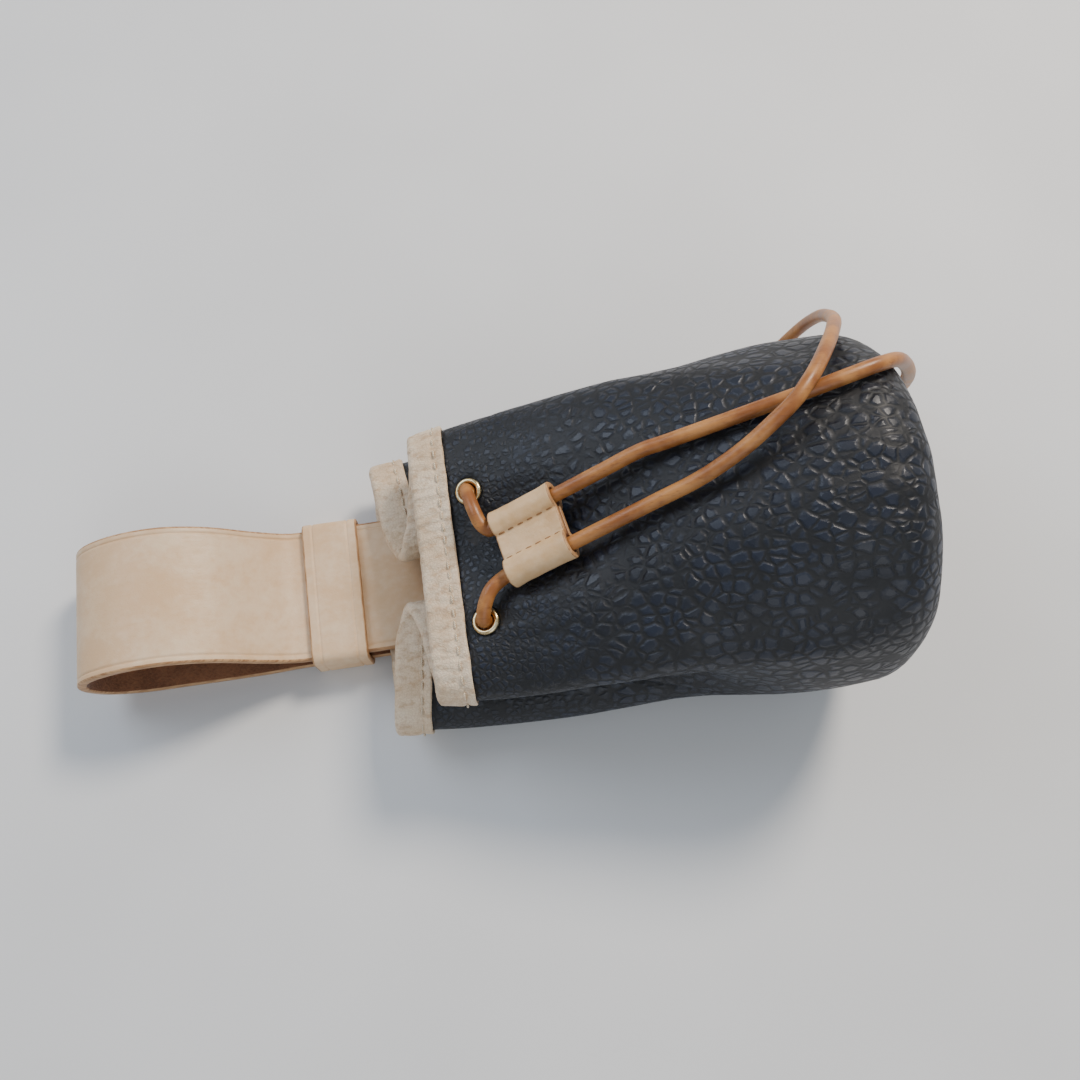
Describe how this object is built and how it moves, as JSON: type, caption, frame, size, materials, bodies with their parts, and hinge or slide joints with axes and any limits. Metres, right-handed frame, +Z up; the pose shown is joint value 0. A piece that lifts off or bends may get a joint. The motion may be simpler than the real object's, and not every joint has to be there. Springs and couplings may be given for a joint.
{
  "type": "drawstring belt pouch",
  "caption": "Soft leather drawstring pouch lying on its back, with a bound, pleated mouth drawn in by a round cord with a sliding stopper, and a wide belt loop with a keeper band.",
  "frame": {"origin": "middle of the footprint, on the surface that the pouch lies on", "axes": "+X from the belt loop and mouth to the base, +Y across the pouch, +Z up; the pouch lies on its back"},
  "size_m": [0.2614, 0.1189, 0.0928],
  "materials": {
    "body_leather": "soft pebble grain, black with a blue cast",
    "binding_leather": "soft natural leather, creased",
    "strap_leather": "smooth natural vegetable-tanned leather",
    "stopper_leather": "smooth natural leather",
    "cord_leather": "round tan leather cord",
    "brass": "pale, polished"
  },
  "bodies": {
    "pouch": {"front_panel": "body_leather", "back_panel": "body_leather", "base_panel": "body_leather", "mouth_binding": "binding_leather", "belt_strap": "strap_leather", "eyelet_1": "brass", "eyelet_2": "brass", "eyelet_3": "brass", "eyelet_4": "brass", "eyelet_5": "brass", "eyelet_6": "brass", "eyelet_washer_1": "brass", "eyelet_washer_2": "brass", "eyelet_washer_3": "brass", "eyelet_washer_4": "brass", "eyelet_washer_5": "brass", "eyelet_washer_6": "brass", "drawcord_upper": "cord_leather", "drawcord_lower": "cord_leather", "drawcord_threaded": "cord_leather", "drawcord_upper_tail": "cord_leather", "drawcord_lower_tail": "cord_leather", "drawcord_knot": "cord_leather"},
    "stopper": {"cord_stopper": "stopper_leather"},
    "keeper": {"strap_keeper": "strap_leather"}
  },
  "joints": [
    {"name": "stopper_slide", "type": "slide", "parent": "pouch", "child": "stopper", "axis": [0.8803, 0.1821, 0.4381], "range_m": [0, 0.022]},
    {"name": "keeper_slide", "type": "slide", "parent": "pouch", "child": "keeper", "axis": [1, 0, 0], "range_m": [-0.004, 0.005]}
  ]
}
